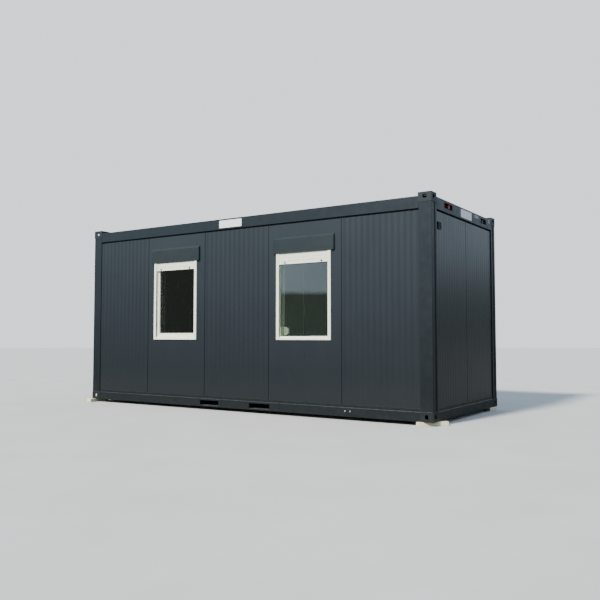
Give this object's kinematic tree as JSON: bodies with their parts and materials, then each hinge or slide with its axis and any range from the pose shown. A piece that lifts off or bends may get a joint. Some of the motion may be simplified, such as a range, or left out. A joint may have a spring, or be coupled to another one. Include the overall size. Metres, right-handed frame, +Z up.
{
  "type": "portable site cabin",
  "caption": "Steel-framed portable site cabin with corner castings, ribbed sandwich walls, roller-shuttered windows, fork pockets and timber packers.",
  "frame": {"origin": "on the ground, below the middle of the cabin, at the underside of the timber packers", "axes": "+X along the length towards the end with the power connections, -Y out of the long wall with the windows, +Z up"},
  "size_m": [6.2572, 2.5753, 2.85],
  "materials": {
    "frame_steel": "semi-gloss anthracite paint",
    "casting_steel": "semi-gloss anthracite paint over cast steel",
    "joist_steel": "primer",
    "galvanised_sheet": "galvanised spangle",
    "floor_vinyl": "vinyl floor covering",
    "roof_steel": "galvanised and coated",
    "ceiling_white": "satin white",
    "panel_coating": "satin coil coating",
    "window_pvc": "satin",
    "window_glass": "clear double glazing",
    "shutter_white": "satin",
    "shutter_box_dark": "satin anthracite",
    "winder_plastic": "satin",
    "vent_plastic": "matte",
    "inlet_plastic": "satin",
    "outlet_plastic": "matte",
    "plate_sheet": "white coated, blank",
    "door_white": "satin",
    "handle_metal": "brushed",
    "packer_timber": "sawn softwood"
  },
  "bodies": {
    "root": {"base_rail_front": "frame_steel", "base_rail_back": "frame_steel", "base_rail_left": "frame_steel", "base_rail_right": "frame_steel", "fork_pocket_left": "frame_steel", "fork_pocket_right": "frame_steel", "cross_members": "joist_steel", "underfloor_sheet": "galvanised_sheet", "floor_deck": "floor_vinyl", "castings_bottom": "casting_steel", "castings_top": "casting_steel", "post_front_left": "frame_steel", "post_front_right": "frame_steel", "post_back_left": "frame_steel", "post_back_right": "frame_steel", "roof_beam_front": "frame_steel", "roof_beam_back": "frame_steel", "roof_beam_left": "frame_steel", "roof_beam_right": "frame_steel", "roof_sheet": "roof_steel", "ceiling": "ceiling_white", "wall_panel_front_1": "panel_coating", "wall_panel_front_2": "panel_coating", "wall_panel_front_3": "panel_coating", "wall_panel_front_4": "panel_coating", "wall_panel_front_5": "panel_coating", "wall_panels_back": "panel_coating", "wall_panels_left": "panel_coating", "wall_panels_right": "panel_coating", "window_frame_left": "window_pvc", "window_frame_right": "window_pvc", "window_sash": "window_pvc", "glass_left": "window_glass", "glass_right": "window_glass", "shutter_guides_left": "shutter_white", "shutter_guides_right": "shutter_white", "shutter_curtain_left": "shutter_white", "shutter_curtain_right": "shutter_white", "shutter_box_left": "shutter_box_dark", "shutter_box_right": "shutter_box_dark", "belt_winder_left": "winder_plastic", "belt_winder_right": "winder_plastic", "vent_cap": "vent_plastic", "power_inlet": "inlet_plastic", "power_outlet": "outlet_plastic", "plate_front": "plate_sheet", "plate_end": "plate_sheet", "door_frame": "door_white", "door_leaf": "door_white", "door_handles": "handle_metal", "timber_packers": "packer_timber"}
  },
  "joints": []
}
